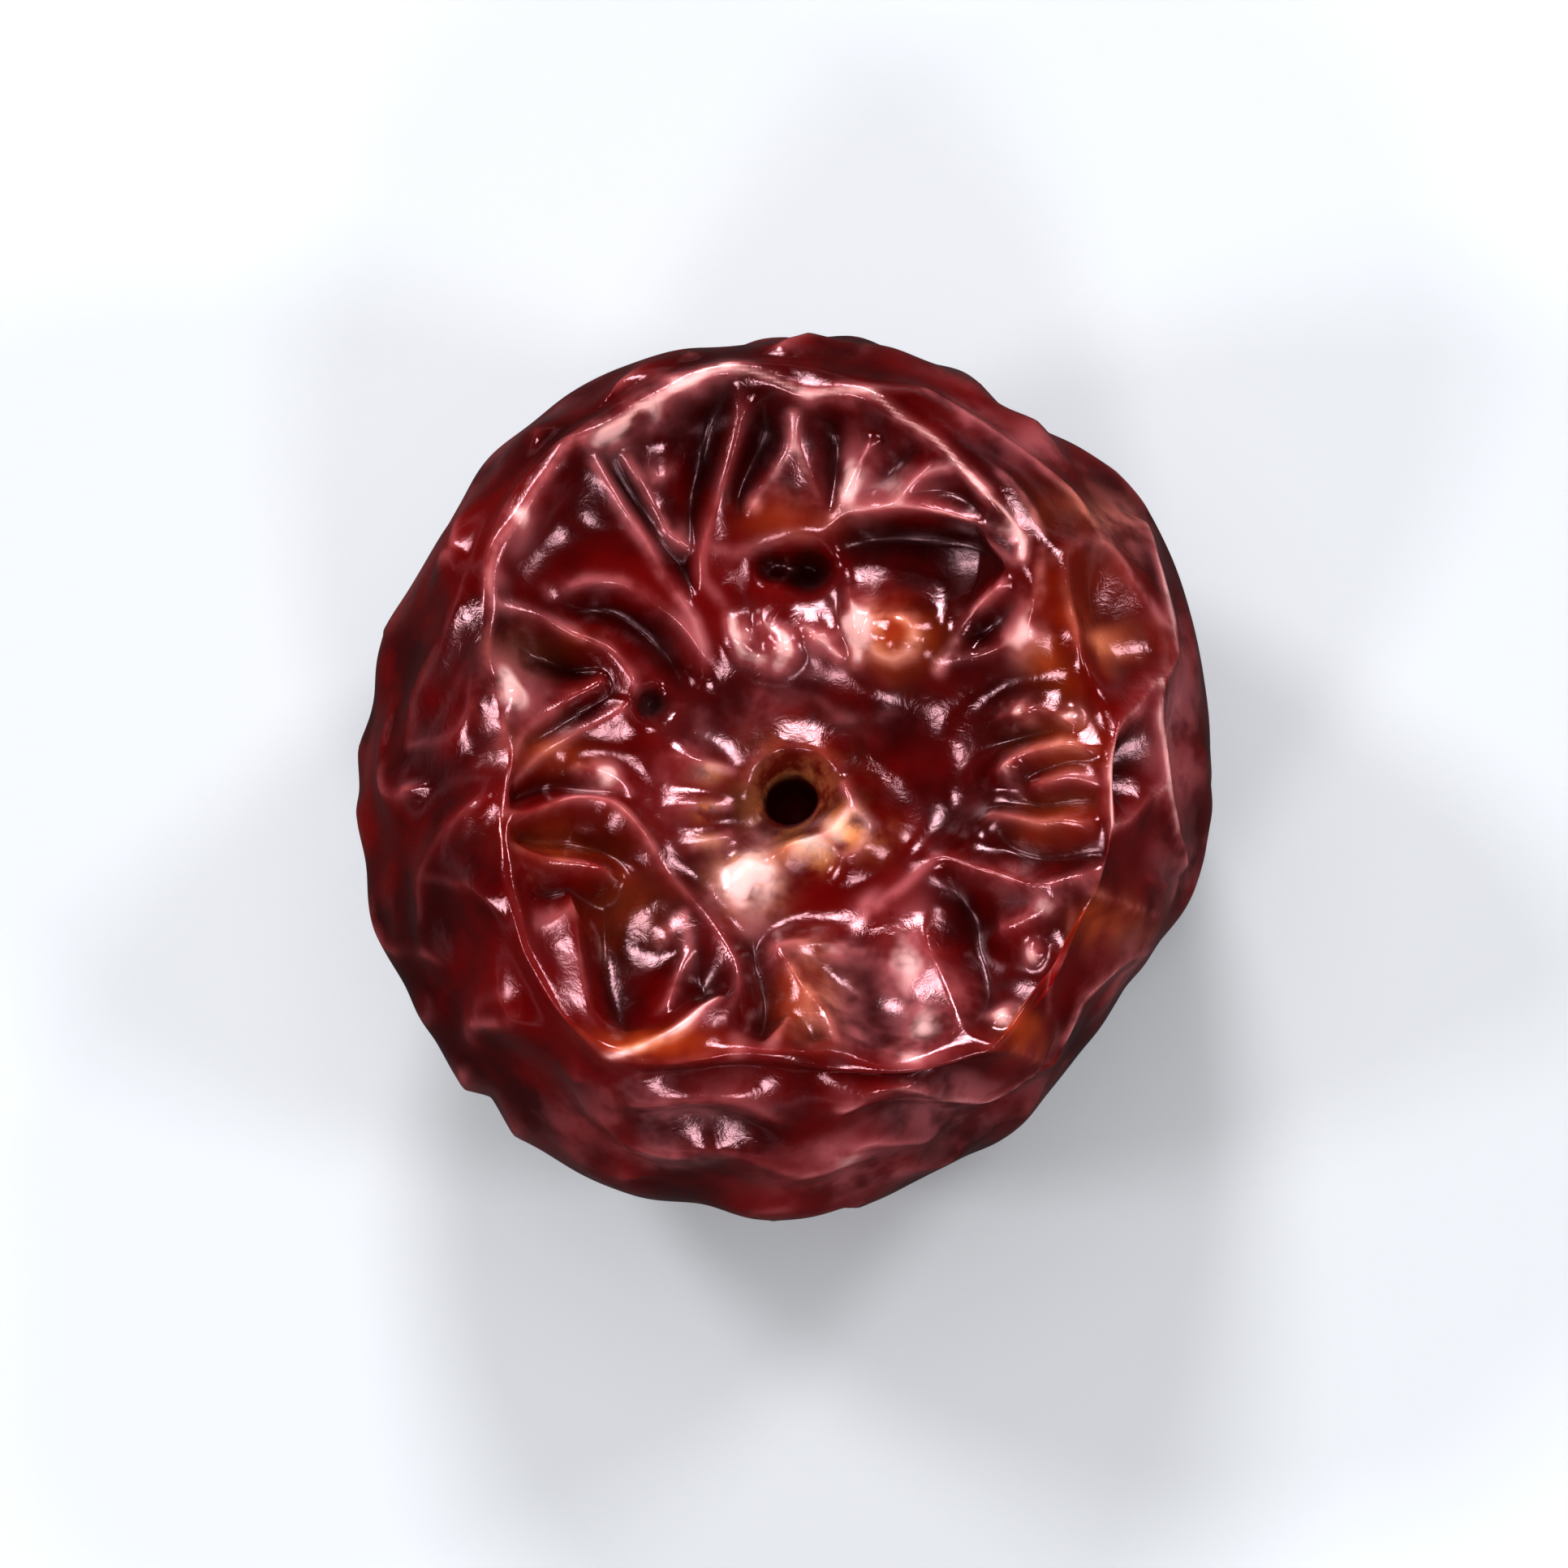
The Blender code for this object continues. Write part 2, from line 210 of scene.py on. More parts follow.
# Folds that the photo shows, as the camera sees them: how far each lies below the fruit's
# outer skin, how pale it is, and the points it runs through, in millimetres right of and
# above the stalk hole
# The pale line along each fold is partly dry skin and partly a painted highlight on its crest
SEEN_RIDGES = [
    # Rim, from the top round the right
    (0.0, 1.0, [(-3.1, 6.0), (-2.1, 6.6), (-1.6, 6.9), (-1.0, 7.1), (-0.3, 6.9), (0.3, 6.6),
        (0.5, 6.6)]),
    (0.0, 1.0, [(0.5, 6.6), (0.9, 6.7), (1.3, 6.7), (1.7, 6.3), (2.3, 5.9), (2.7, 5.5), (3.1, 5.1)]),
    (0.0, 1.0, [(3.1, 5.1), (3.5, 4.7), (3.8, 4.2), (3.75, 3.9)]),
    (0.1, 0.6, [(3.5, 5.4), (4.0, 4.8), (4.15, 4.2), (4.1, 3.4), (3.85, 2.9), (3.8, 2.4)]),
    (0.0, 0.75, [(-3.1, 6.0), (-3.7, 5.8), (-4.0, 5.3), (-4.5, 4.5), (-4.85, 4.1), (-4.95, 3.7),
        (-4.9, 3.05)]),
    (0.1, 0.4, [(-4.9, 3.1), (-5.0, 2.2), (-4.8, 1.5), (-4.4, 0.7)]),
    (0.1, 0.1, [(-4.4, 0.7), (-4.6, 0.1), (-4.7, -0.4), (-4.6, -1.3), (-4.3, -2.6), (-3.8, -3.6),
        (-3.0, -4.5)]),
    (0.1, 0.15, [(-3.0, -4.5), (-1.9, -4.5), (-0.9, -4.15), (0.0, -4.2), (0.8, -4.1), (1.5, -4.5),
        (2.0, -4.5)]),
    (0.0, 0.3, [(2.0, -4.5), (2.5, -4.3), (2.9, -4.1), (3.7, -4.3), (4.4, -4.6)]),
    # Pleats of the upper left
    (0.15, 0.75, [(-3.2, 5.5), (-2.6, 4.5), (-2.3, 4.0), (-2.0, 3.5), (-1.55, 2.9), (-1.4, 2.3)]),
    (0.25, 0.7, [(-2.6, 5.5), (-2.3, 4.9), (-2.0, 4.35), (-1.7, 4.15)]),
    (0.2, 0.7, [(-2.35, 5.0), (-1.9, 5.3)]),
    (0.15, 0.4, [(-0.8, 6.9), (-0.75, 6.4), (-0.9, 5.7), (-1.2, 4.8), (-1.4, 4.0), (-1.4, 3.6),
        (-1.1, 3.2)]),
    (0.2, 0.85, [(0.0, 6.3), (0.05, 5.8), (-0.25, 5.3), (-0.6, 4.8)]),
    (0.2, 0.85, [(0.05, 5.8), (0.2, 5.3), (0.4, 4.9)]),
    (0.15, 0.65, [(-3.9, 3.35), (-3.3, 3.5), (-2.75, 3.5), (-2.3, 3.2), (-1.75, 2.8), (-1.4, 2.3)]),
    (0.1, 0.65, [(-4.9, 3.2), (-4.2, 3.0), (-3.4, 2.6), (-2.9, 2.4), (-2.6, 2.05), (-2.5, 1.8)]),
    (0.1, 0.6, [(-4.4, 0.8), (-4.1, 1.2), (-3.6, 1.6), (-3.1, 1.9)]),
    (0.2, 0.5, [(-4.3, 0.3), (-3.9, 0.75), (-3.6, 1.0), (-2.7, 1.4)]),
    (0.2, 0.6, [(-3.4, 0.5), (-2.9, 0.4), (-2.6, 0.1)]),
    # Left and lower left
    (0.1, 0.7, [(-4.7, -0.35), (-4.2, -0.3), (-3.6, 0.0), (-2.9, -0.1), (-2.6, -0.35), (-2.2, -0.85)]),
    (0.2, 0.3, [(-2.2, -0.85), (-1.9, -1.3), (-1.3, -2.0), (-0.9, -2.6), (-0.8, -3.1), (-1.1, -3.6)]),
    (0.25, 0.6, [(-4.4, -0.8), (-3.9, -1.0), (-3.3, -1.1), (-2.9, -1.2)]),
    (0.3, 0.45, [(-4.1, -2.1), (-3.7, -2.0), (-3.4, -1.7), (-3.3, -2.8), (-3.3, -3.7)]),
    (0.3, 0.6, [(-2.1, -2.2), (-1.7, -1.9), (-1.7, -2.5), (-2.0, -3.2)]),
    (0.05, 1.0, [(-3.0, -4.45), (-2.7, -4.3), (-2.05, -4.0), (-1.55, -3.6), (-1.2, -3.3)]),
    # Panels under the upper rim
    (0.2, 0.7, [(1.2, 5.7), (0.9, 5.1), (0.65, 4.65)]),
    (0.2, 0.8, [(2.5, 5.4), (1.9, 5.15), (1.65, 4.8)]),
    (0.15, 0.85, [(0.65, 4.6), (1.1, 4.7), (1.65, 4.75), (2.6, 4.55), (3.5, 4.35), (3.8, 4.2)]),
    (0.2, 0.6, [(3.1, 4.1), (3.6, 3.85), (3.8, 4.0)]),
    (0.2, 0.45, [(-1.3, 4.1), (-0.9, 4.0), (-0.5, 4.15), (-0.1, 4.3), (0.3, 4.25), (0.6, 4.5)]),
    (0.15, 0.8, [(3.35, 3.4), (2.85, 3.0), (2.6, 2.4), (2.35, 2.0)]),
    (0.15, 0.8, [(3.85, 3.05), (3.6, 2.5), (3.2, 2.3), (2.7, 2.2)]),
    (0.1, 1.0, [(-0.95, 3.0), (-0.95, 2.6), (-0.8, 2.3), (-0.45, 2.2)]),
    (0.05, 1.0, [(-0.4, 2.8), (-0.1, 2.65), (0.0, 2.35), (-0.2, 2.1)]),
    (0.1, 0.9, [(0.2, 2.85), (0.5, 2.55), (0.75, 2.25)]),
    (0.05, 1.0, [(0.95, 3.2), (1.15, 2.9), (1.15, 2.5), (1.05, 2.2)]),
    # Ribs and torn flesh round the hole
    (0.05, 0.5, [(-1.6, 0.55), (-1.0, 0.35)]),
    (0.05, 0.5, [(-1.65, -0.2), (-1.0, -0.15)]),
    (0.05, 0.5, [(-1.55, -0.85), (-1.0, -0.6)]),
    (-0.28, 0.6, [(-0.1, -1.05), (0.3, -0.95), (0.7, -0.75), (1.0, -0.4)]),
    (-0.24, 0.5, [(0.5, -0.9), (0.8, -1.2), (1.2, -1.0), (1.35, -0.6), (1.1, -0.3), (0.9, 0.1)]),
    (-0.05, 0.2, [(-0.75, 0.1), (-0.6, 0.55), (-0.1, 0.8), (0.4, 0.75), (0.8, 0.4)]),
    (0.4, 0.2, [(-0.9, 1.75), (-0.3, 1.75), (0.4, 1.5), (1.0, 1.1), (1.6, 1.4)]),
    (0.3, 0.3, [(-0.9, 2.9), (-0.9, 2.3), (-0.4, 2.0), (0.5, 2.0), (1.0, 2.0)]),
    # Rim of the round nodule
    (-0.1, 0.8, [(2.08, 2.58), (1.97, 2.87), (1.7, 2.98), (1.43, 2.87), (1.32, 2.58), (1.43, 2.29),
        (1.7, 2.18), (1.97, 2.29), (2.08, 2.58)]),
    # Small pleats of the right side
    (0.2, 0.3, [(3.3, 1.3), (3.9, 1.4), (4.5, 1.2)]),
    (0.15, 0.75, [(3.3, 0.4), (3.7, 0.7), (4.3, 0.8), (4.9, 0.75)]),
    (0.2, 0.5, [(3.8, 0.15), (4.4, 0.35), (4.9, 0.25)]),
    (0.2, 0.4, [(3.1, -0.3), (3.9, -0.45), (4.3, -0.4), (4.8, -0.5)]),
    # Lower right
    (0.1, 0.6, [(2.3, -1.0), (2.6, -1.1), (3.0, -1.3), (3.8, -1.5), (4.5, -1.4), (5.2, -1.3)]),
    (0.15, 0.7, [(4.45, -1.45), (4.1, -1.8), (3.6, -2.1), (3.25, -2.25)]),
    (0.2, 0.6, [(2.3, -1.1), (1.9, -1.4), (1.3, -1.9), (1.1, -2.2)]),
    (0.15, 0.7, [(-0.25, -2.4), (0.1, -2.35), (0.7, -2.4), (1.3, -2.55), (1.8, -2.25), (2.1, -2.2)]),
    (0.1, 0.6, [(2.1, -2.2), (2.3, -2.7), (2.5, -3.2), (2.7, -3.7), (2.9, -4.1)]),
    (0.15, 0.6, [(-0.25, -2.4), (0.2, -3.0), (0.6, -3.35), (0.8, -4.0)]),
    (0.25, 0.6, [(-0.3, -4.1), (0.0, -3.5), (0.3, -4.1)]),
    (0.25, 0.4, [(4.45, -1.45), (4.45, -2.1), (4.5, -2.8), (4.45, -3.6), (4.5, -4.2), (4.1, -4.7)]),
    # Outer side, right
    (0.05, 0.75, [(4.3, 3.9), (4.9, 4.3), (5.4, 4.1), (5.7, 3.6), (6.1, 3.1), (6.4, 2.7)]),
    (0.0, 1.0, [(5.9, 4.6), (6.2, 3.6), (6.4, 2.8), (6.45, 2.3), (6.15, 1.9), (6.1, 1.3), (6.2, 0.7),
        (6.3, 0.0), (6.4, -0.6), (6.6, -1.3)]),
    (0.05, 1.0, [(6.1, 1.95), (5.8, 1.5), (5.4, 0.9), (5.2, 0.4), (5.2, 0.0), (5.3, -0.6),
        (5.6, -0.5), (5.95, -0.2), (6.25, 0.1)]),
    (0.1, 0.5, [(4.5, 4.0), (4.55, 3.3), (4.65, 2.8), (4.7, 2.4)]),
    (0.1, 0.9, [(6.1, -2.7), (5.45, -3.0), (4.95, -3.5), (4.6, -4.2)]),
    (0.1, 0.5, [(6.5, -2.2), (5.6, -1.9), (4.9, -1.6), (4.45, -1.45)]),
    # Outer side, below
    (0.05, 0.85, [(0.85, -5.4), (1.3, -5.15), (1.85, -4.95), (2.6, -5.15), (3.2, -5.2),
        (3.7, -4.95), (4.1, -4.7)]),
    (0.1, 0.75, [(0.2, -6.5), (0.7, -6.4), (1.1, -6.05), (1.5, -5.95), (2.4, -6.0)]),
    (0.15, 0.45, [(-2.9, -5.3), (-1.8, -5.2), (-0.8, -5.25), (-0.2, -5.6)]),
    (0.1, 0.45, [(-3.2, -5.5), (-2.7, -5.9), (-2.1, -6.1), (-1.3, -6.0), (-0.6, -6.2), (0.2, -6.5)]),
    # Outer side, left
    (0.1, 0.2, [(-5.5, 3.4), (-6.0, 2.6), (-6.4, 1.6), (-6.5, 0.8)]),
    (0.15, 0.3, [(-5.1, 1.9), (-5.7, 1.0), (-6.5, 0.8)]),
    (0.1, 0.2, [(-5.1, 0.0), (-5.8, -0.5), (-6.3, -1.4), (-6.3, -2.2)]),
    (0.15, 0.2, [(-4.9, -1.9), (-5.4, -1.6), (-6.3, -1.4)]),
    # Outer side, upper right
    (0.1, 0.75, [(1.3, 6.7), (2.2, 6.9), (3.2, 6.3), (4.1, 5.6), (4.8, 5.0), (5.2, 4.3)]),
]

# Creases between them, which lie deeper
SEEN_VALLEYS = [
    (0.65, [(-2.85, 5.6), (-2.5, 4.9), (-2.15, 4.3), (-1.8, 3.9)]),
    (0.70, [(-1.1, 6.6), (-1.25, 5.7), (-1.5, 4.7), (-1.6, 4.1), (-1.6, 3.5)]),
    (0.60, [(-0.4, 6.2), (-0.5, 5.5), (-0.9, 4.8)]),
    (0.60, [(0.5, 6.2), (0.5, 5.5), (0.55, 4.9)]),
    (0.55, [(1.9, 5.7), (1.5, 5.3), (1.3, 4.95)]),
    (0.45, [(3.0, 4.75), (2.5, 4.85), (2.0, 4.9)]),
    (0.75, [(0.9, 4.2), (1.5, 4.25), (2.5, 4.0), (3.2, 3.7)]),
    (0.65, [(-3.4, 3.05), (-2.7, 3.05), (-2.05, 2.5), (-1.8, 2.1)]),
    (0.60, [(-4.2, 2.5), (-3.5, 2.1), (-2.9, 1.9)]),
    (0.60, [(-4.1, 0.95), (-3.6, 1.3), (-2.9, 1.65)]),
    (0.55, [(-4.4, 0.1), (-3.6, 0.4), (-3.1, 0.1)]),
    (0.60, [(-4.3, -0.55), (-3.5, -0.55), (-2.9, -0.6), (-2.5, -0.9)]),
    (0.60, [(-3.9, -1.5), (-3.3, -1.5), (-2.6, -1.6)]),
    (0.70, [(-2.8, -2.0), (-2.7, -2.9), (-2.6, -3.6)]),
    (0.60, [(-1.6, -2.7), (-1.4, -3.0)]),
    (0.70, [(-0.6, -2.2), (-0.3, -3.0), (-0.4, -3.7)]),
    (0.12, [(0.5, -2.85), (1.1, -3.0), (1.5, -3.3), (1.8, -3.8), (1.65, -4.3)]),
    (0.60, [(0.45, -3.6), (0.5, -3.95)]),
    (0.65, [(2.5, -1.5), (2.85, -2.3), (2.95, -3.0), (3.05, -3.6)]),
    (0.60, [(3.4, -1.7), (4.0, -1.6)]),
    (0.35, [(3.8, -2.3), (3.9, -3.0), (3.8, -3.7)]),
    (0.55, [(3.4, 0.9), (4.2, 1.0), (4.8, 1.3)]),
    (0.55, [(3.5, 0.2), (4.2, 0.5), (4.9, 0.6)]),
    (0.55, [(3.3, -0.2), (4.2, -0.1), (4.9, 0.0)]),
    (0.55, [(3.3, 3.0), (3.0, 2.6)]),
    (0.50, [(3.3, -0.9), (4.2, -1.0), (5.0, -1.0)]),
    (0.10, [(1.5, 1.2), (2.1, 0.8), (2.2, 0.2), (2.1, -0.4)]),
    (0.40, [(-0.6, 3.0), (-0.6, 2.6)]),
    (0.40, [(0.15, 2.9), (0.3, 2.45)]),
    (0.40, [(0.65, 3.05), (0.85, 2.6)]),
    (0.65, [(5.7, 1.0), (5.6, 0.3), (5.7, -0.3)]),
    (0.45, [(5.1, 3.6), (5.5, 3.0), (5.8, 2.3), (5.6, 1.7)]),
    (0.45, [(6.6, 1.5), (6.7, 0.5), (6.75, -0.4)]),
    (0.45, [(5.2, -2.5), (5.8, -2.3)]),
    (0.45, [(1.2, -5.5), (2.2, -5.55), (3.2, -5.6)]),
    (0.45, [(-2.4, -5.6), (-1.4, -5.6), (-0.6, -5.8)]),
    (0.40, [(0.8, -4.8), (2.0, -4.75), (3.2, -4.75)]),
    (0.40, [(-2.5, -4.85), (-1.5, -4.85), (-0.4, -4.7)]),
]

# Lumps and pits: right of and above the hole, radius and height
SEEN_LUMPS = [
    (1.70, 2.58, 0.60, 0.22), (0.95, 2.80, 0.55, 0.22),
    (0.35, 2.60, 0.34, 0.16), (-4.45, 1.70, 0.60, 0.30),
    (-0.19, 2.40, 0.40, 0.20), (-0.75, 2.65, 0.45, 0.20),
    (-0.68, -1.32, 0.75, 0.45), (0.55, -1.12, 0.26, -0.15),
    (2.30, 0.10, 1.60, -0.35), (3.40, -3.62, 0.26, 0.20),
    (3.80, -2.57, 0.24, 0.16), (3.65, 1.30, 0.22, 0.12),
    (4.50, 1.25, 0.26, 0.14), (3.45, 0.40, 0.26, 0.12),
    (-2.20, 1.55, 0.38, -0.55), (0.15, 3.75, 0.55, -0.75),
    (-0.35, 3.80, 0.35, -0.45),
]

# Spots painted pale, part dry skin and part painted highlight and sheen: place, half width, half
# height, strength
SEEN_PALE = [
    (-2.95, 5.95, 0.32, 0.28, 1.3), (-2.40, 6.35, 0.45, 0.28, 1.3),
    (-1.90, 6.75, 0.35, 0.22, 0.9), (-1.00, 7.05, 0.45, 0.18, 1.0),
    (0.30, 6.55, 0.22, 0.15, 0.8), (0.95, 6.60, 0.15, 0.15, 0.6),
    (-2.20, 5.30, 0.15, 0.25, 0.6), (-1.80, 4.25, 0.15, 0.18, 0.6),
    (-4.40, 4.55, 0.28, 0.35, 1.3), (-4.85, 3.40, 0.15, 0.30, 0.7),
    (0.00, 5.15, 0.35, 0.30, 0.85), (0.95, 5.10, 0.28, 0.50, 1.2),
    (1.50, 5.05, 0.55, 0.25, 0.9), (0.90, 4.70, 0.40, 0.15, 0.8),
    (-4.55, 1.75, 0.48, 0.55, 1.2), (-4.60, 1.00, 0.20, 0.25, 0.6),
    (-3.05, 0.32, 0.30, 0.25, 1.2), (-0.70, 2.60, 0.22, 0.32, 0.85),
    (-0.20, 2.40, 0.38, 0.28, 1.0), (0.50, 2.50, 0.18, 0.30, 0.85),
    (1.10, 2.75, 0.34, 0.52, 1.4), (3.65, 2.60, 0.28, 0.40, 1.0),
    (-0.50, 1.50, 0.60, 0.35, 0.3), (0.90, 1.15, 0.40, 0.20, 0.35),
    (-0.72, -1.32, 0.50, 0.50, 1.6), (0.75, -0.65, 0.30, 0.16, 0.7),
    (0.15, -1.05, 0.35, 0.14, 0.6), (1.30, -1.80, 0.20, 0.20, 0.7),
    (1.80, -2.20, 0.20, 0.20, 0.8), (1.85, -2.70, 0.38, 0.75, 1.0),
    (2.25, -3.60, 0.50, 0.70, 1.0), (2.00, -4.30, 0.50, 0.25, 0.9),
    (0.60, -2.50, 0.90, 0.25, 0.9), (0.80, -3.20, 0.40, 0.45, 0.7),
    (1.20, -3.90, 0.35, 0.45, 0.7), (3.30, -1.40, 0.60, 0.20, 0.9),
    (4.00, -1.80, 0.35, 0.25, 1.0), (3.80, -2.58, 0.18, 0.18, 1.4),
    (3.40, -3.62, 0.22, 0.20, 1.6), (3.65, 1.30, 0.18, 0.15, 1.2),
    (4.50, 1.25, 0.22, 0.16, 1.3), (3.45, 0.40, 0.20, 0.20, 1.0),
    (-1.80, 0.80, 0.45, 1.40, 0.30), (-3.80, -2.00, 0.30, 0.20, 0.6),
    (-3.35, -2.40, 0.20, 0.50, 0.3), (-1.75, -2.50, 0.12, 0.25, 0.6),
    (-2.10, -5.40, 1.20, 0.60, 0.50), (-2.00, -6.15, 0.90, 0.20, 0.70),
    (1.00, -6.20, 0.60, 0.25, 0.85), (2.40, -5.15, 1.20, 0.20, 0.80),
    (-0.85, -4.10, 0.12, 0.20, 0.6), (5.40, 2.60, 0.35, 0.30, 0.4),
    (6.30, 3.20, 0.20, 0.60, 0.4), (3.10, 6.40, 0.50, 0.35, 0.65),
    (4.20, 6.00, 0.80, 0.35, 0.60), (5.60, 4.60, 0.60, 0.60, 0.55),
    (6.60, 1.20, 0.45, 1.60, 0.75), (6.60, -1.60, 0.40, 0.90, 0.60),
    (5.90, -3.40, 0.50, 0.80, 0.80), (4.60, -5.20, 0.80, 0.60, 0.50),
    (2.60, -5.60, 1.20, 0.50, 0.50), (1.40, -6.60, 1.60, 0.45, 0.50),
    (-1.20, -5.40, 1.20, 0.45, 0.30), (-3.60, -5.60, 0.80, 0.60, 0.25),
]
# Spots painted with an amber glow, as of light shining through thin skin, given the same way
SEEN_GLOW = [
    (1.70, 2.58, 0.55, 0.50, 1.0), (4.15, 2.05, 0.40, 0.50, 0.9),
    (4.80, 3.10, 0.70, 1.00, 0.45), (5.45, 2.60, 0.50, 0.40, 0.9),
    (4.40, 0.90, 0.80, 0.50, 0.45), (4.20, -0.30, 0.80, 0.40, 0.35),
    (5.20, -2.20, 0.60, 0.40, 0.8), (3.85, -3.95, 0.40, 0.35, 0.8),
    (-3.60, -0.70, 0.90, 0.35, 0.55), (-2.60, -1.60, 0.60, 0.60, 0.35),
    (-2.30, -4.10, 0.85, 0.30, 1.0), (-0.10, 4.60, 0.80, 0.30, 0.35),
    (0.30, -3.20, 0.45, 0.80, 0.5), (-3.80, 0.75, 0.60, 0.30, 0.45),
    (-4.00, 2.45, 0.80, 0.35, 0.25), (4.80, 4.70, 0.90, 0.50, 0.35),
]
# Torn flesh at the stalk hole, given the same way
SEEN_FLESH = [
    (0.00, 0.00, 0.66, 0.66, 0.5), (0.95, -0.65, 0.42, 0.32, 1.0),
    (0.30, -1.00, 0.50, 0.22, 1.0), (-0.65, -1.30, 0.45, 0.40, 0.9),
    (-1.35, 0.35, 0.25, 0.16, 0.5), (-1.35, -0.25, 0.25, 0.14, 0.4),
    (-1.35, -0.75, 0.25, 0.14, 0.4),
]

# How hard a fold holds the skin up, its half width, and the least of that in mesh spacings
FOLD_PULL = 1800.0
RIDGE_WIDTH = 0.055
LINE_SPACINGS = 1.1
# Half width of a fold's pale line, the share of it for a dull fold, and what a pale one adds
PALE_WIDTH = 0.088
PALE_LEAST = 0.7
PALE_GAIN = 0.8
# Depth of the skin between folds on the face and on the side, and how much it varies
FACE_DEPTH = 0.82
SIDE_DEPTH = 0.60
DEPTH_CHANGE = 0.3
# Distance from a fold over which the skin sinks, in general and in a full crease
SAG_REACH = 0.62
TROUGH_REACH = 0.25
# Half width of a crease, how much of its depth is added, and the depth of a full one
TROUGH_WIDTH = 0.20
TROUGH_PULL = 0.9
TROUGH_FULL = 0.55
# Radius within which the skin counts as the face, and how that fades inwards of it
FACE_REACH = 5.3
FACE_FADE = (-0.6, 0.4)
# The skin sinks less by this share where the camera sees its outline, in a band so wide
OUTLINE_CALM = 0.8
OUTLINE_BAND = 0.30

# Cosine to the camera, run past the lip of the hole and distance from a drawn fold: between
# each pair of values the skin comes into view, starts to fold and leaves the drawn folds
SHOWN_FROM = (0.05, 0.30)
OUTSIDE_FROM = (0.05, 0.35)
DRAWN_REACH = (0.9, 1.5)
# Skin that slants further away is measured as if at this cosine
LEAST_SLANT = 0.3

# Sets of folds on the hidden sides: which way they run, their spacing, where in the noise
# they are read, and the noise above which they show
HIDDEN_FOLDS = [
    ("along", 2.3, 4.0, -0.45),
    ("across", 2.6, 17.0, -0.15),
    ("along", 1.4, 31.0, 0.15),
]
# How they fade in, the size of the patches where they show, and the shift to their noise
FOLD_FADE = 0.5
FOLD_PATCH_SIZE = 1.8
FOLD_PATCH_SHIFT = 2.0
# Depth of their ends and of the creases between them, how pale their lines are, part dry skin and part
# painted highlight, and the painted sheen on their skin
HIDDEN_DEPTH = 0.35
CREASE_DEPTH = 0.5
HIDDEN_PALENESS = 0.6
HIDDEN_SHEEN = 0.3
# Those that run along the side are drawn out by shrinking the run down it to this share
FOLD_LENGTHENING = 0.45

# Small wrinkles between the folds: how far they reach and how deep they are
WRINKLE_REACH = 0.30
WRINKLE_DEPTH = 0.06
# Height of the broad swells, and the share of it that the face lacks
SWELL = 0.18
FACE_CALM = 0.5

# Noises: the size of their lumps, and where in the noise they are read
NOISES = {
    "picture_sway": (0.7, 4.0),
    "paint_sway": (0.5, 8.0),
    "along_sway": (2.4, 0.0),
    "across_sway": (2.0, 3.0),
    "creases": (2.9, 21.0),
    "wrinkle_sway": (0.9, 12.0),
    "wrinkles": (0.8, 14.0),
    "depth": (2.2, 7.0),
    "swell": (3.4, 1.0),
}
# Patches where something shows: the noise between whose values it fades in, and that noise
PATCHES = {
    "creases": (-0.1, 0.4, 1.6, 9.0),
    "wrinkles": (-0.05, 0.5, 1.3, 6.0),
    # Patches of painted sheen
    "sheen_patches": (-0.1, 0.4, 2.2, 23.0),
}
# How far noise moves the drawn folds, the paint, the hidden folds and the wrinkles
PICTURE_SWAY = 0.06
PAINT_SWAY = 0.22
FOLD_SWAY = 0.9
WRINKLE_SWAY = 0.5
# Shift between the noises of a vector's three axes
AXIS_SHIFT = 37.3

# Rounds in which the areas between folds are drawn flat, the share that a quad takes on from
# its neighbour in each, the turn past which it takes on little, and rounds to settle in
FLAT_ROUNDS = 60
FLAT_SHARE = 0.22
SHARP_TURN = 0.20
SETTLE_ROUNDS = 20
# An edge that turns by more radians than this is rounded off with the skin near it
KNIFE_TURN = 1.15
BLUNT_ROUNDS = 24
BLUNT_SPREAD = 3
BLUNT_GAIN = 2.0
# A lump's bell is this share of its radius
LUMP_SHARE = 0.62

# The relief is compared with itself after so many rounds of smoothing, and counts as full
# where it rises by this much over that; pale skin follows it more steeply
RELIEF_ROUNDS = 40
FULL_RISE = 0.14
CREST_GAIN = 2.0
PALE_ROUNDS = 2
# Runs up to the lip of the hole between which its flesh starts to show
FLESH_FROM = (-0.5, -0.1)

# Height of the stalk hole's lip, and how much of the underside is pressed flat
HOLE_LEVEL = 6.75
FLAT_SPOT_LIFT = 0.12


def camera_axes():
    """The picture's right, its up and the way back to the camera, as unit vectors."""
    to_right = math.tan(math.radians(VIEW_LEAN_SIDE))
    to_front = math.tan(math.radians(VIEW_LEAN_BACK))
    back = Vector((to_right, -to_front, 1.0)).normalized()
    right = Vector((0.0, 1.0, 0.0)).cross(back).normalized()
    return right, back.cross(right), back


def in_picture(points):
    """Points as the camera sees them: millimetres right of and above the origin."""
    right, up, _ = camera_axes()
    return np.stack([points @ np.array(right), points @ np.array(up)], axis=1)


def distance_to_run(points, run):
    """Distance of flat points to a run of straight stretches."""
    nearest = np.full(len(points), np.inf)
    for start, end in zip(np.array(run[:-1]), np.array(run[1:])):
        stretch = end - start
        share = np.clip(((points - start) @ stretch) / (stretch @ stretch), 0.0, 1.0)
        apart = points - start - share[:, None] * stretch
        nearest = np.minimum(nearest, np.hypot(apart[:, 0], apart[:, 1]))
    return nearest


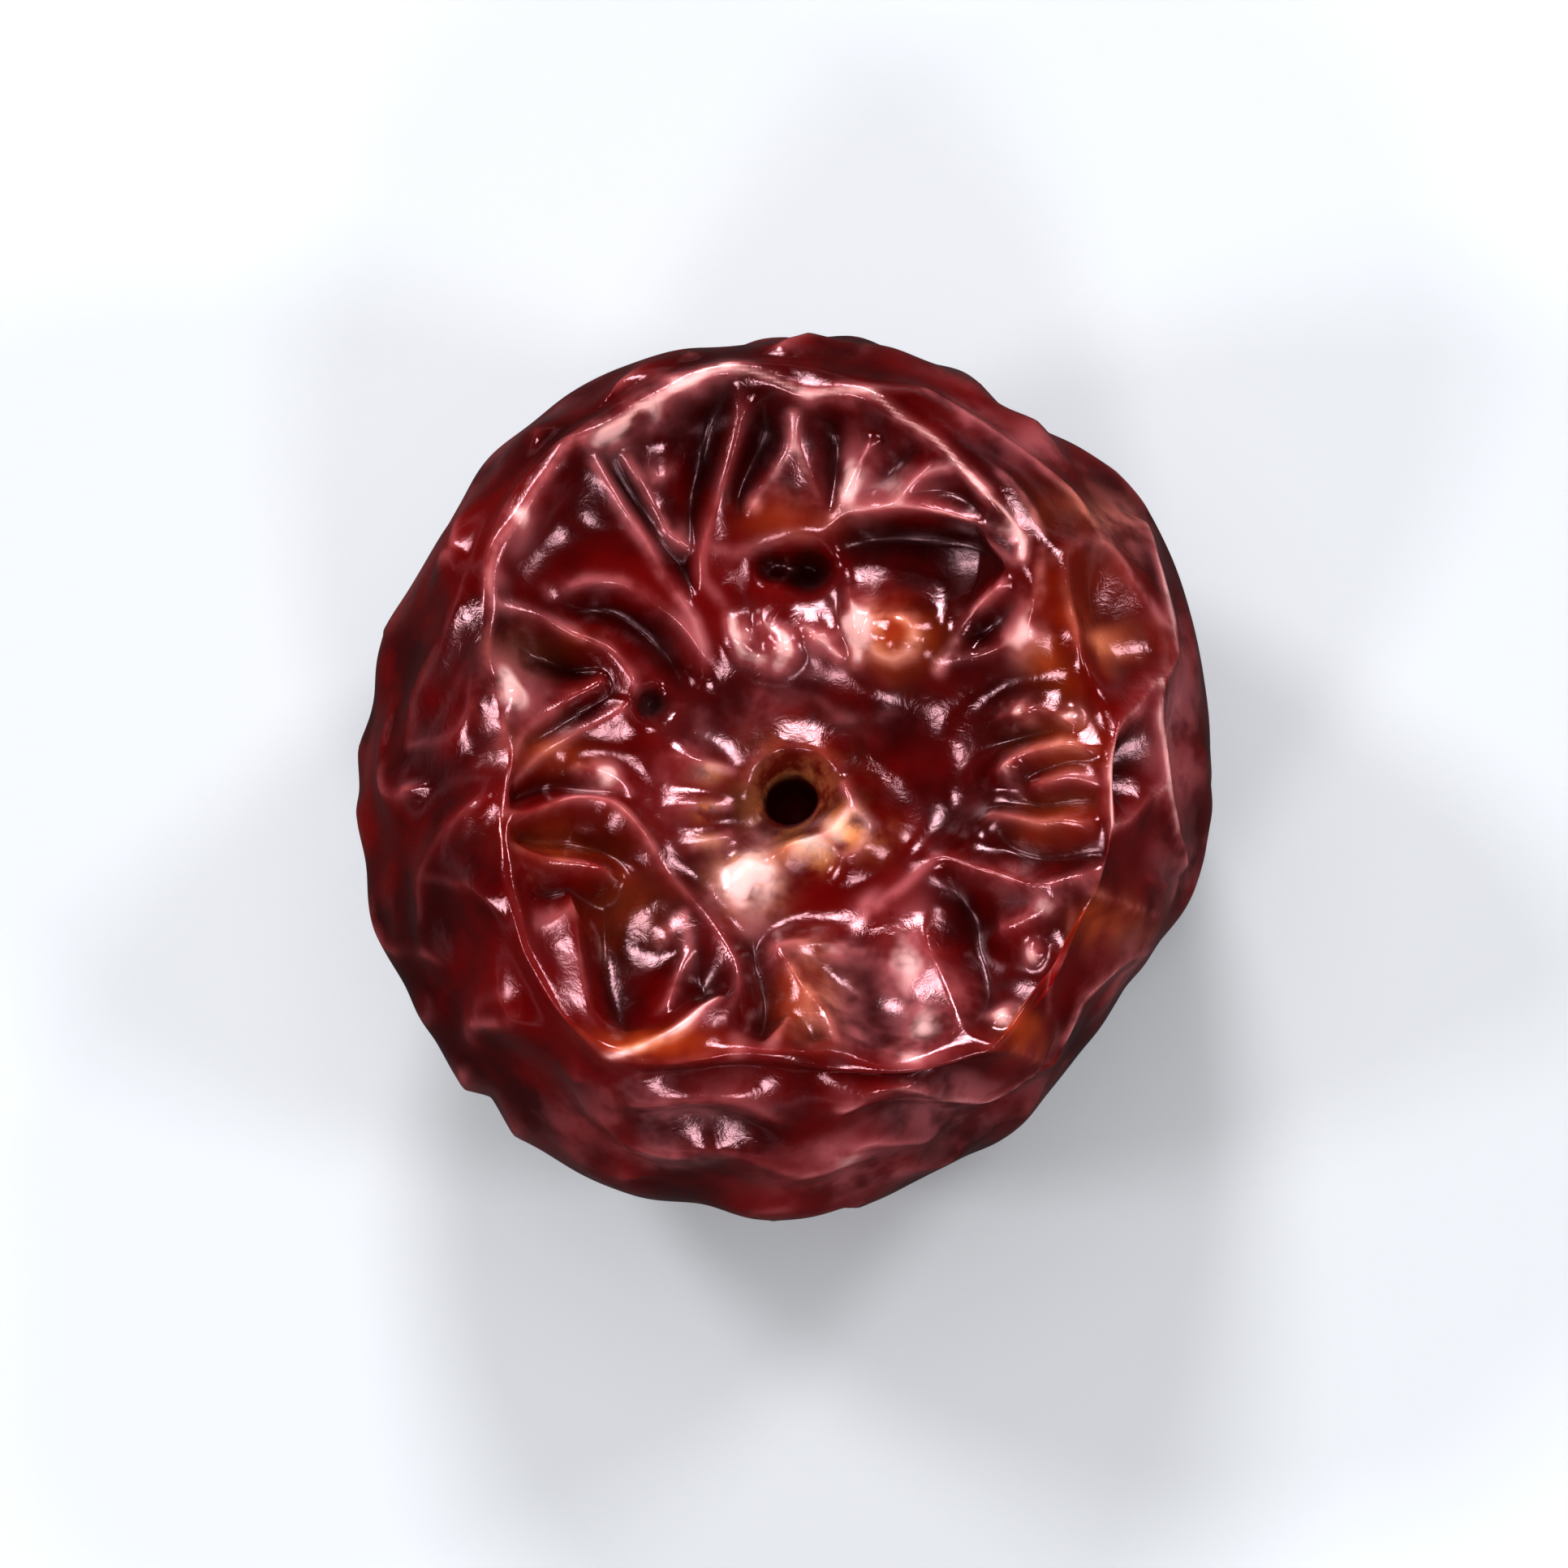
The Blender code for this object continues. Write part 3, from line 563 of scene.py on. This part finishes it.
class Net:
    """The edges of the mesh, for smoothing and for hanging the skin between its folds."""

    def __init__(self, quads, points):
        ends = np.concatenate([quads[:, [i, (i + 1) % 4]] for i in range(4)])
        self.low, self.high = np.unique(np.sort(ends, axis=1), axis=0).T
        self.count = len(points)
        self.degree = self.sums(np.ones(self.count))
        apart = np.linalg.norm(points[self.low] - points[self.high], axis=1) ** 2
        self.area = self.at_ends(apart) / self.degree

    def sums(self, values):
        """For each point, the sum of its neighbours' values."""
        upwards = np.bincount(self.low, values[self.high], self.count)
        return upwards + np.bincount(self.high, values[self.low], self.count)

    def at_ends(self, values):
        """For each point, the sum of the values of its edges."""
        upwards = np.bincount(self.low, values, self.count)
        return upwards + np.bincount(self.high, values, self.count)

    def line_distance(self, values):
        """Distance of each point to the nearest line along which the values are zero."""
        rises = self.at_ends((values[self.low] - values[self.high]) ** 2)
        return np.abs(values) / np.sqrt(2.0 * rises / (self.area * self.degree) + TINY)

    def smoothed(self, values, rounds, strength=0.5):
        for _ in range(rounds):
            values = values + strength * (self.sums(values) / self.degree - values)
        return values

    def smoothed_points(self, points):
        return np.stack([self.smoothed(values, 1) for values in points.T], axis=1)

    def hang(self, pull, rise, reach, depth, rounds=400, precision=1e-10):
        """Heights of a skin pulled to rise by pull, which sinks to -depth past its reach."""
        pull = pull * self.area
        give = self.area / reach**2
        diagonal = self.degree + pull + give
        heights = -depth
        rest = pull * rise - give * depth - diagonal * heights + self.sums(heights)
        step = rest / diagonal
        way, energy = step.copy(), rest @ step
        for _ in range(rounds):
            pushed = diagonal * way - self.sums(way)
            size = energy / (way @ pushed)
            heights = heights + size * way
            rest -= size * pushed
            step = rest / diagonal
            energy, before = rest @ step, energy
            way = step + energy / before * way
            if energy < precision * self.count:
                break
        return heights


def face_pairs(quads):
    """Pairs of quads that share an edge."""
    ends = np.concatenate([quads[:, [i, (i + 1) % 4]] for i in range(4)])
    low, high = np.sort(ends, axis=1).T
    order = np.lexsort((high, low))
    owner = np.tile(np.arange(len(quads)), 4)[order]
    return owner[0::2], owner[1::2]


def drawn_flat(points, quads):
    """The skin with the areas between its folds drawn flat, and the folds left sharp."""
    one, other = face_pairs(quads)
    normals = face_normals(points, quads)
    for _ in range(FLAT_ROUNDS):
        gap = normals[other] - normals[one]
        gap *= FLAT_SHARE * np.exp(-(gap**2).sum(axis=1) / SHARP_TURN**2)[:, None]
        normals += gathered(one, gap, len(quads))
        normals -= gathered(other, gap, len(quads))
        normals /= np.linalg.norm(normals, axis=1)[:, None]
    share = 1.0 / np.bincount(quads.reshape(-1), minlength=len(points))[:, None]
    points = points.copy()
    for _ in range(SETTLE_ROUNDS):
        corners = points[quads]
        gap = corners.mean(axis=1)[:, None] - corners
        along = (gap * normals[:, None]).sum(axis=2)
        for corner in range(4):
            moves = along[:, corner, None] * normals
            points += share * gathered(quads[:, corner], moves, len(points))
    return points


def rounded_off(points, quads, net):
    """The skin with its knife-like edges made blunt."""
    one, other = face_pairs(quads)
    for _ in range(BLUNT_ROUNDS):
        normals = face_normals(points, quads)
        sharp = (normals[one] * normals[other]).sum(axis=1) < math.cos(KNIFE_TURN)
        near = np.zeros(len(points))
        near[quads[one[sharp]]] = near[quads[other[sharp]]] = 1.0
        near = np.clip(BLUNT_GAIN * net.smoothed(near, BLUNT_SPREAD), 0.0, 1.0)
        points = points + near[:, None] * (net.smoothed_points(points) - points)
    return points


def noise_at(points, size, shift=0.0):
    """Smooth noise from -1 to 1, with lumps of the given size."""
    moved = points / size + shift
    return np.array([noise.noise(Vector(p)) for p in moved])


def noise_vectors(points, size, shift=0.0):
    """Three such noises for each point, each from a part of the noise of its own."""
    axes = [noise_at(points, size, shift + AXIS_SHIFT * axis) for axis in (1, 2, 3)]
    return np.stack(axes, axis=1)


def patches(points, low, high, size, shift):
    """Soft patches from 0 to 1, where the noise rises from low to high."""
    return smoothstep(low, high, noise_at(points, size, shift))


def bell(distance, width):
    return np.exp(-((distance / width) ** 2))


def ribbon(distance, width):
    """Like a bell, but flatter on top and with clearer edges."""
    return np.exp(-((distance / width) ** 4))


def seen_holds(flat, slant, width):
    """Of the seen folds: pull, pull times height, paleness, distance to them, and creases."""
    pull = np.zeros(len(flat))
    pale = np.zeros(len(flat))
    weighted = np.zeros(len(flat))
    nearest = np.full(len(flat), np.inf)
    for depth, paleness, run in SEEN_RIDGES:
        distance = distance_to_run(flat, run) / slant
        line_width = PALE_WIDTH * (PALE_LEAST + PALE_GAIN * paleness)
        pale = np.maximum(pale, paleness * ribbon(distance, line_width))
        nearest = np.minimum(nearest, distance)
        hold = bell(distance, width)
        pull += hold
        weighted -= hold * depth
    sag = np.zeros(len(flat))
    for depth, run in SEEN_VALLEYS:
        distance = distance_to_run(flat, run) / slant
        nearest = np.minimum(nearest, distance)
        sag = np.maximum(sag, depth * bell(distance, TROUGH_WIDTH))
    return pull, weighted, pale, nearest, sag


def hidden_holds(net, body, run, free, width):
    """Of folds where the photo shows none: pull, pull times height, paleness, and creases."""
    angle = np.arctan2(body[:, 1], body[:, 0])
    down = run * FOLD_LENGTHENING / SIDE_RADIUS
    along = SIDE_RADIUS * np.stack([np.cos(angle), np.sin(angle), down], axis=1)
    layouts = {
        "along": along + FOLD_SWAY * noise_vectors(body, *NOISES["along_sway"]),
        "across": body + FOLD_SWAY * noise_vectors(body, *NOISES["across_sway"]),
    }
    pull = np.zeros(len(body))
    pale = np.zeros(len(body))
    weighted = np.zeros(len(body))
    for way, size, shift, least in HIDDEN_FOLDS:
        distance = net.line_distance(noise_at(layouts[way], size, shift))
        fade = (least, least + FOLD_FADE)
        strength = free * patches(body, *fade, FOLD_PATCH_SIZE, shift + FOLD_PATCH_SHIFT)
        hold = strength * bell(distance, width)
        pull += hold
        weighted -= hold * HIDDEN_DEPTH * (1.0 - strength)
        pale = np.maximum(pale, HIDDEN_PALENESS * strength * ribbon(distance, PALE_WIDTH))
    crease = net.line_distance(noise_at(layouts["along"], *NOISES["creases"]))
    sag = CREASE_DEPTH * free * bell(crease, TROUGH_WIDTH) * patches(body, *PATCHES["creases"])
    return pull, weighted, pale, sag


def fine_wrinkles(net, body, outside):
    """Heights of the small wrinkles in patches between the folds."""
    layout = body + WRINKLE_SWAY * noise_vectors(body, *NOISES["wrinkle_sway"])
    borders = net.line_distance(noise_at(layout, *NOISES["wrinkles"]))
    strength = outside * patches(body, *PATCHES["wrinkles"])
    pull = FOLD_PULL * strength * bell(borders, RIDGE_WIDTH)
    return net.hang(pull, 0.0, WRINKLE_REACH, WRINKLE_DEPTH * strength)


def lump_heights(flat):
    """Heights of the lumps and pits that the photo shows."""
    heights = np.zeros(len(flat))
    for x, y, radius, height in SEEN_LUMPS:
        apart = np.hypot(flat[:, 0] - x, flat[:, 1] - y)
        heights += height * bell(apart, LUMP_SHARE * radius)
    return heights


def painted(flat, spots):
    """Strength of the painted spots at each point, from 0 to 1."""
    strength = np.zeros(len(flat))
    for x, y, across, up, most in spots:
        apart = np.hypot((flat[:, 0] - x) / across, (flat[:, 1] - y) / up)
        strength = np.maximum(strength, most * bell(apart, 1.0))
    return np.minimum(strength, 1.0)


class Skin:
    """The skin of the fruit: its smooth shape, and from that its folds and its paint."""

    def __init__(self):
        directions, self.quads = patch_grid()
        self.body, self.run = smooth_body(directions)
        self.normals = point_normals(self.body, self.quads)
        self.net = Net(self.quads, self.body)
        hole = in_picture(np.array([[*HOLE_SHIFT, HOLE_LEVEL]]))[0]
        self.flat = in_picture(self.body) - hole
        self.flat += PICTURE_SWAY * noise_vectors(self.body, *NOISES["picture_sway"])[:, :2]
        self.facing = self.normals @ np.array(camera_axes()[2])
        self.shown = smoothstep(*SHOWN_FROM, self.facing)
        self.outside = smoothstep(*OUTSIDE_FROM, self.run)

    def holds(self):
        """Pull and height of all folds, the creases, and how pale seen and hidden folds are."""
        width = np.maximum(RIDGE_WIDTH, LINE_SPACINGS * np.sqrt(self.net.area))
        seen = seen_holds(self.flat, np.clip(self.facing, LEAST_SLANT, 1.0), width)
        seen_pull, seen_weighted, pale, nearest, sag = seen
        drawn = self.shown * (1.0 - smoothstep(*DRAWN_REACH, nearest))
        hidden = hidden_holds(self.net, self.body, self.run, 1.0 - drawn, width)
        hidden_pull, hidden_weighted, hidden_pale, hidden_sag = hidden
        sag = np.maximum(self.shown * sag, hidden_sag)
        pull = self.outside * (self.shown * seen_pull + hidden_pull)
        weighted = self.outside * (self.shown * seen_weighted + hidden_weighted)
        return pull, weighted / np.maximum(pull, TINY), sag, pale, hidden_pale

    def heights(self, pull, rise, sag):
        """Heights of the folded skin over the smooth body."""
        body, outside = self.body, self.outside
        inwards = FACE_REACH - np.hypot(body[:, 0], body[:, 1])
        on_face = smoothstep(*FACE_FADE, inwards) * (body[:, 2] > FACE_FLOOR)
        calm = 1.0 - OUTLINE_CALM * bell(self.facing, OUTLINE_BAND)
        depth = outside * calm * (SIDE_DEPTH + (FACE_DEPTH - SIDE_DEPTH) * on_face)
        depth *= 1.0 + DEPTH_CHANGE * noise_at(body, *NOISES["depth"])
        depth += TROUGH_PULL * sag * outside * calm
        creased = np.clip(sag / TROUGH_FULL, 0.0, 1.0)
        reach = SAG_REACH - (SAG_REACH - TROUGH_REACH) * creased
        relief = self.net.hang(FOLD_PULL * pull, rise, reach, depth)
        relief += fine_wrinkles(self.net, body, outside)
        swell = SWELL * noise_at(body, *NOISES["swell"]) * outside * (1.0 - FACE_CALM * on_face)
        return relief + swell

    def folded(self, heights):
        """Points of the skin at these heights, flat between its folds, with its lumps."""
        points = self.body + self.normals * heights[:, None]
        flattened = self.net.smoothed_points(drawn_flat(points, self.quads))
        points += self.outside[:, None] * (flattened - points)
        points += self.normals * (self.outside * self.shown * lump_heights(self.flat))[:, None]
        return rounded_off(points, self.quads, self.net)

    def weights(self, points, pale, hidden_pale):
        """Weights from 0 to 1 that the colours follow, by name."""
        sway = PAINT_SWAY * noise_vectors(self.body, *NOISES["paint_sway"])[:, :2]
        ragged = self.flat + sway
        pale = np.maximum(pale, painted(ragged, SEEN_PALE))
        relief = ((points - self.body) * self.normals).sum(axis=1)
        raised = (relief - self.net.smoothed(relief, RELIEF_ROUNDS)) / FULL_RISE
        # Painted sheen in patches on the hidden sides, and pale lines on their crests, part dry skin
        # and part painted highlight
        sheen_patches = (1.0 - self.shown) * patches(self.body, *PATCHES["sheen_patches"])
        hidden_pale = hidden_pale * np.clip(CREST_GAIN * raised, 0.0, 1.0)
        hidden_pale = np.maximum(hidden_pale, HIDDEN_SHEEN * sheen_patches)
        pale = np.maximum(self.shown * pale, hidden_pale)
        flesh = self.shown * painted(self.flat, SEEN_FLESH)
        return {
            "crest": np.clip(raised, 0.0, 1.0),
            "cavity": np.clip(-raised, 0.0, 1.0),
            "pale": self.net.smoothed(pale, PALE_ROUNDS),
            "amber_glow": self.shown * painted(ragged, SEEN_GLOW),
            "flesh": flesh * smoothstep(*FLESH_FROM, self.run),
        }


def fitted(points):
    """The points brought to the stated size, standing on the ground over the origin."""
    low, high = points.min(axis=0), points.max(axis=0)
    floor = low[2] + FLAT_SPOT_LIFT
    points[:, 2] = np.maximum(points[:, 2], floor)
    low[2] = floor
    scale = np.array([WIDTH_X, LENGTH_Y, HEIGHT]) / (high - low)
    middle = (low + high) / 2.0
    middle[2] = floor
    return (points - middle) * scale


# Colours of the skin and of the flesh
DEEP_RED = (0.030, 0.0005, 0.0006, 1.0)
RED = (0.102, 0.0008, 0.0008, 1.0)
# Painted glow on the crests of folds
CREST_GLOW_RED = (0.30, 0.025, 0.026, 1.0)
# Painted shade in cavities
CREASE_SHADE_RED = (0.014, 0.0003, 0.0004, 1.0)
# Painted glow of light through thin skin
AMBER_GLOW = (0.30, 0.046, 0.008, 1.0)
DARK_TAN = (0.08, 0.014, 0.004, 1.0)
PALE_TAN = (0.55, 0.22, 0.085, 1.0)
# Pale colours of red and of amber skin, part dry skin and part painted highlight and sheen, of dry
# flesh, and the painted highlight of the palest spots
DRY_AND_SHEEN_RED = (0.37, 0.115, 0.127, 1.0)
DRY_AND_SHEEN_AMBER = (0.78, 0.380, 0.230, 1.0)
DRY_FLESH = (0.72, 0.580, 0.530, 1.0)
PAINTED_HIGHLIGHT = (0.72, 0.460, 0.450, 1.0)
# How far crests take on their painted glow and cavities their painted shade
CREST_GLOW_SHARE = 0.22
CAVITY_SHADE_SHARE = 0.7
# Roughness of the wet skin, and what cavities and flesh add to it
WET_ROUGHNESS = (0.11, 0.22)
CAVITY_ROUGHNESS = 0.12
FLESH_ROUGHNESS = 0.25
# Light that enters the skin: how much, how far each colour spreads, and the scale of that
SUBSURFACE = 0.35
SUBSURFACE_RADIUS = (1.0, 0.10, 0.05)
SUBSURFACE_SCALE = 0.7 * MM
SKIN_IOR = 1.5
HIGHLIGHT_TINT = (1.0, 0.62, 0.70, 1.0)
# Fine grain of the skin: size, strength and height
GRAIN_SIZE = 0.28
GRAIN_STRENGTH = 0.24
GRAIN_HEIGHT = 0.05 * MM


class Nodes:
    """Shader nodes of one material, added and joined by name."""

    def __init__(self, name):
        self.material = bpy.data.materials.new(name)
        self.material.use_nodes = True
        self.tree = self.material.node_tree
        self.shader = self.tree.nodes["Principled BSDF"]

    def add(self, kind, **inputs):
        node = self.tree.nodes.new(kind)
        for key, value in inputs.items():
            self.feed(node.inputs[key.replace("_", " ")], value)
        return node

    def feed(self, socket, value):
        if isinstance(value, bpy.types.NodeSocket):
            self.tree.links.new(value, socket)
        else:
            socket.default_value = value

    def attribute(self, name):
        node = self.add("ShaderNodeAttribute")
        node.attribute_name = name
        return node.outputs["Fac"]

    def noise(self, size, detail, roughness=0.55, distortion=0.0):
        """Noise from 0 to 1 with lumps of the given size in millimetres."""
        place = self.add("ShaderNodeTexCoord").outputs["Object"]
        inputs = {"Vector": place, "Scale": 1.0 / (size * MM), "Detail": detail}
        inputs.update({"Roughness": roughness, "Distortion": distortion})
        return self.add("ShaderNodeTexNoise", **inputs).outputs["Fac"]

    def math(self, operation, *values):
        node = self.tree.nodes.new("ShaderNodeMath")
        node.operation = operation
        for socket, value in zip(node.inputs, values):
            self.feed(socket, value)
        return node.outputs[0]

    def spread(self, value, low, high, to_low=0.0, to_high=1.0):
        """The value brought from low..high to another range, with soft ends."""
        node = self.tree.nodes.new("ShaderNodeMapRange")
        node.interpolation_type = "SMOOTHSTEP"
        for socket, given in zip(node.inputs, (value, low, high, to_low, to_high)):
            self.feed(socket, given)
        return node.outputs[0]

    def mix(self, share, first, second):
        """A mix of two colours, with so great a share of the second."""
        node = self.tree.nodes.new("ShaderNodeMix")
        node.data_type = "RGBA"
        self.feed(node.inputs[0], share)
        self.feed(node.inputs[6], first)
        self.feed(node.inputs[7], second)
        return node.outputs[2]


def moist_colour(nodes):
    """Red skin with darker clouds, a painted glow on crests and painted shade in cavities, a painted
    amber glow where it is thin, and tan flesh.
    """
    clouds = nodes.spread(nodes.noise(size=2.2, detail=3.0), 0.35, 0.65)
    colour = nodes.mix(clouds, DEEP_RED, RED)
    # Painted glow on the crests
    crest = nodes.math("MULTIPLY", nodes.attribute("crest"), CREST_GLOW_SHARE)
    colour = nodes.mix(crest, colour, CREST_GLOW_RED)
    # Painted shade in the cavities between folds
    cavity = nodes.math("MULTIPLY", nodes.attribute("cavity"), CAVITY_SHADE_SHARE)
    colour = nodes.mix(cavity, colour, CREASE_SHADE_RED)
    # Painted amber glow where the skin is thin
    mottling = nodes.spread(nodes.noise(size=0.9, detail=2.0), 0.3, 0.65, 0.45)
    thin_glow = nodes.math("MULTIPLY", nodes.attribute("amber_glow"), mottling)
    colour = nodes.mix(thin_glow, colour, AMBER_GLOW)
    streaks = nodes.spread(nodes.noise(size=0.5, detail=4.0), 0.35, 0.6)
    return nodes.mix(nodes.attribute("flesh"), colour, nodes.mix(streaks, DARK_TAN, PALE_TAN))


def dry_and_sheen_colour(nodes):
    """The pale colour of skin and flesh, part dry skin and part painted highlight and sheen, near
    white as a painted highlight where the paint is strongest.
    """
    colour = nodes.mix(nodes.attribute("amber_glow"), DRY_AND_SHEEN_RED, DRY_AND_SHEEN_AMBER)
    colour = nodes.mix(nodes.attribute("flesh"), colour, DRY_FLESH)
    return nodes.mix(nodes.spread(nodes.attribute("pale"), 0.6, 1.1), colour, PAINTED_HIGHLIGHT)


def dry_and_sheen_share(nodes):
    """How far the skin shows its pale colour, part dry skin and part painted highlight and sheen: in
    patches, and all over where it is palest.
    """
    sheen_patches = nodes.spread(nodes.noise(size=0.9, detail=3.0), 0.35, 0.62, 0.15, 1.0)
    sheen_patches = nodes.math("MAXIMUM", sheen_patches, nodes.spread(nodes.attribute("pale"), 0.75, 1.1))
    return nodes.math("MULTIPLY", nodes.attribute("pale"), sheen_patches)


def skin_roughness(nodes):
    rough = nodes.spread(nodes.noise(size=0.9, detail=4.0), 0.3, 0.7, *WET_ROUGHNESS)
    cavity = nodes.math("MULTIPLY", nodes.attribute("cavity"), CAVITY_ROUGHNESS)
    flesh = nodes.math("MULTIPLY", nodes.attribute("flesh"), FLESH_ROUGHNESS)
    return nodes.math("ADD", nodes.math("ADD", rough, cavity), flesh)


def skin_material():
    """Glossy, slightly translucent skin with painted glow and shade, pale on its folds with dry skin
    and painted highlights, with a fine grain.
    """
    nodes = Nodes("cherry_skin")
    inputs = nodes.shader.inputs
    colour = nodes.mix(dry_and_sheen_share(nodes), moist_colour(nodes), dry_and_sheen_colour(nodes))
    nodes.feed(inputs["Base Color"], colour)
    nodes.feed(inputs["Roughness"], skin_roughness(nodes))
    inputs["IOR"].default_value = SKIN_IOR
    inputs["Specular Tint"].default_value = HIGHLIGHT_TINT
    inputs["Subsurface Weight"].default_value = SUBSURFACE
    inputs["Subsurface Radius"].default_value = SUBSURFACE_RADIUS
    inputs["Subsurface Scale"].default_value = SUBSURFACE_SCALE
    grain = nodes.noise(size=GRAIN_SIZE, detail=5.0, roughness=0.6, distortion=0.6)
    bump = nodes.add("ShaderNodeBump", Strength=GRAIN_STRENGTH, Distance=GRAIN_HEIGHT, Height=grain)
    nodes.feed(inputs["Normal"], bump.outputs["Normal"])
    return nodes.material


def skin_mesh(points, quads, weights):
    """A mesh of the quads, with the weights as attributes of its points."""
    mesh = bpy.data.meshes.new("cherry_skin")
    mesh.vertices.add(len(points))
    mesh.vertices.foreach_set("co", points.reshape(-1))
    mesh.loops.add(quads.size)
    mesh.loops.foreach_set("vertex_index", quads.reshape(-1))
    mesh.polygons.add(len(quads))
    mesh.polygons.foreach_set("loop_start", np.arange(len(quads)) * 4)
    mesh.update(calc_edges=True)
    mesh.shade_smooth()
    for name, values in weights.items():
        layer = mesh.attributes.new(name, "FLOAT", "POINT")
        layer.data.foreach_set("value", values.astype(np.float32))
    return mesh


def make_cherry():
    skin = Skin()
    pull, rise, creases, pale, hidden_pale = skin.holds()
    points = skin.folded(skin.heights(pull, rise, creases))
    weights = skin.weights(points, pale, hidden_pale)
    mesh = skin_mesh(fitted(points) * MM, skin.quads, weights)
    mesh.materials.append(skin_material())
    cherry = bpy.data.objects.new("cherry_skin", mesh)
    bpy.context.scene.collection.objects.link(cherry)
    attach(cherry, "root")
    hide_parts("dried_cherry")


# The floor: half its width in metres, its colour and its roughness
FLOOR_HALF = 1.5
FLOOR_COLOUR = (0.425, 0.435, 0.455, 1.0)
FLOOR_ROUGHNESS = 0.9

# Soft lights all round: name, turn from +X, rise above the ground, width, brightness
LIGHTS = [
    ("back", 95.0, 36.0, 16.0, 44.0),
    ("back_left", 145.0, 36.0, 14.0, 38.0),
    ("left", 195.0, 32.0, 13.0, 34.0),
    ("front_left", 240.0, 34.0, 12.0, 32.0),
    ("front", 285.0, 36.0, 12.0, 32.0),
    ("right", 340.0, 32.0, 13.0, 34.0),
    ("back_right", 40.0, 34.0, 13.0, 34.0),
]
# A wide soft light from above, given the same way, which reflections don't show
FILL = ("fill", 90.0, 88.0, 60.0, 1.8)
# Where the lights are put, in metres from the fruit; they shine as if from far off
LIGHT_DISTANCE = 0.3

# Brightness of the surroundings by the sine of their rise above the ground
WALL_COLOUR = (0.93, 0.95, 1.0, 1.0)
WALL_BRIGHTNESS = [
    (-0.12, 0.08), (-0.03, 0.65), (-0.012, 1.12), (0.02, 1.12),
    (0.05, 0.50), (0.15, 0.12), (0.40, 0.02),
]

# The camera: focal length in millimetres, and the nearest thing that it sees, in metres
FOCAL_LENGTH = 300.0
NEAREST = 0.01
# A gamma below 1 darkens the middle tones of the picture
PICTURE_GAMMA = 0.8


def add_floor():
    material = bpy.data.materials.new("floor_paper")
    material.use_nodes = True
    shader = material.node_tree.nodes["Principled BSDF"]
    shader.inputs["Base Color"].default_value = FLOOR_COLOUR
    shader.inputs["Roughness"].default_value = FLOOR_ROUGHNESS
    mesh = bpy.data.meshes.new("floor")
    turns = [(-1, -1), (1, -1), (1, 1), (-1, 1)]
    corners = [(x * FLOOR_HALF, y * FLOOR_HALF, 0) for x, y in turns]
    mesh.from_pydata(corners, [], [(0, 1, 2, 3)])
    mesh.materials.append(material)
    floor = bpy.data.objects.new("floor", mesh)
    bpy.context.scene.collection.objects.link(floor)
    floor.visible_glossy = False


def add_light(name, turn, rise, width, brightness):
    """A far soft light, seen from the fruit at the turn from +X and the rise above the ground."""
    data = bpy.data.lights.new(name, "SUN")
    data.angle = math.radians(width)
    data.energy = brightness * math.pi * math.sin(math.radians(width) / 2.0) ** 2
    turn, rise = math.radians(turn), math.radians(rise)
    level = math.cos(rise)
    way = Vector((math.cos(turn) * level, math.sin(turn) * level, math.sin(rise)))
    light = bpy.data.objects.new(name, data)
    light.location = LIGHT_DISTANCE * way
    light.rotation_euler = way.to_track_quat("Z", "Y").to_euler()
    bpy.context.scene.collection.objects.link(light)
    return light


def add_world():
    """Pale walls all round, with a dark ceiling and, in reflections, a dark table."""
    world = bpy.data.worlds.new("studio")
    world.use_nodes = True
    nodes, links = world.node_tree.nodes, world.node_tree.links
    background = nodes["Background"]
    background.inputs["Color"].default_value = WALL_COLOUR
    way = nodes.new("ShaderNodeTexCoord")
    axes = nodes.new("ShaderNodeSeparateXYZ")
    links.new(way.outputs["Generated"], axes.inputs[0])
    rise = nodes.new("ShaderNodeMapRange")
    rise.inputs["From Min"].default_value = -1.0
    links.new(axes.outputs["Z"], rise.inputs["Value"])
    ramp = nodes.new("ShaderNodeValToRGB")
    ramp.color_ramp.interpolation = "EASE"
    stops = ramp.color_ramp.elements
    while len(stops) < len(WALL_BRIGHTNESS):
        stops.new(1.0)
    for stop, (height, brightness) in zip(stops, WALL_BRIGHTNESS):
        stop.position = (height + 1.0) / 2.0
        stop.color = (brightness, brightness, brightness, 1.0)
    links.new(rise.outputs[0], ramp.inputs[0])
    links.new(ramp.outputs["Color"], background.inputs["Strength"])
    bpy.context.scene.world = world


def add_camera():
    right, up, back = camera_axes()
    data = bpy.data.cameras.new("camera")
    data.lens = FOCAL_LENGTH
    data.clip_start = NEAREST
    distance = FRAME_SIZE * MM * data.lens / data.sensor_width
    camera = bpy.data.objects.new("camera", data)
    target = Vector((0.0, 0.0, 0.5 * HEIGHT * MM))
    camera.location = target + distance * back
    camera.rotation_euler = Matrix((right, up, back)).transposed().to_euler()
    bpy.context.scene.collection.objects.link(camera)
    bpy.context.scene.camera = camera


make_cherry()
add_floor()
add_world()
for light in LIGHTS:
    add_light(*light)
add_light(*FILL).visible_glossy = False
add_camera()
bpy.context.scene.view_settings.view_transform = "Standard"
bpy.context.scene.view_settings.gamma = PICTURE_GAMMA
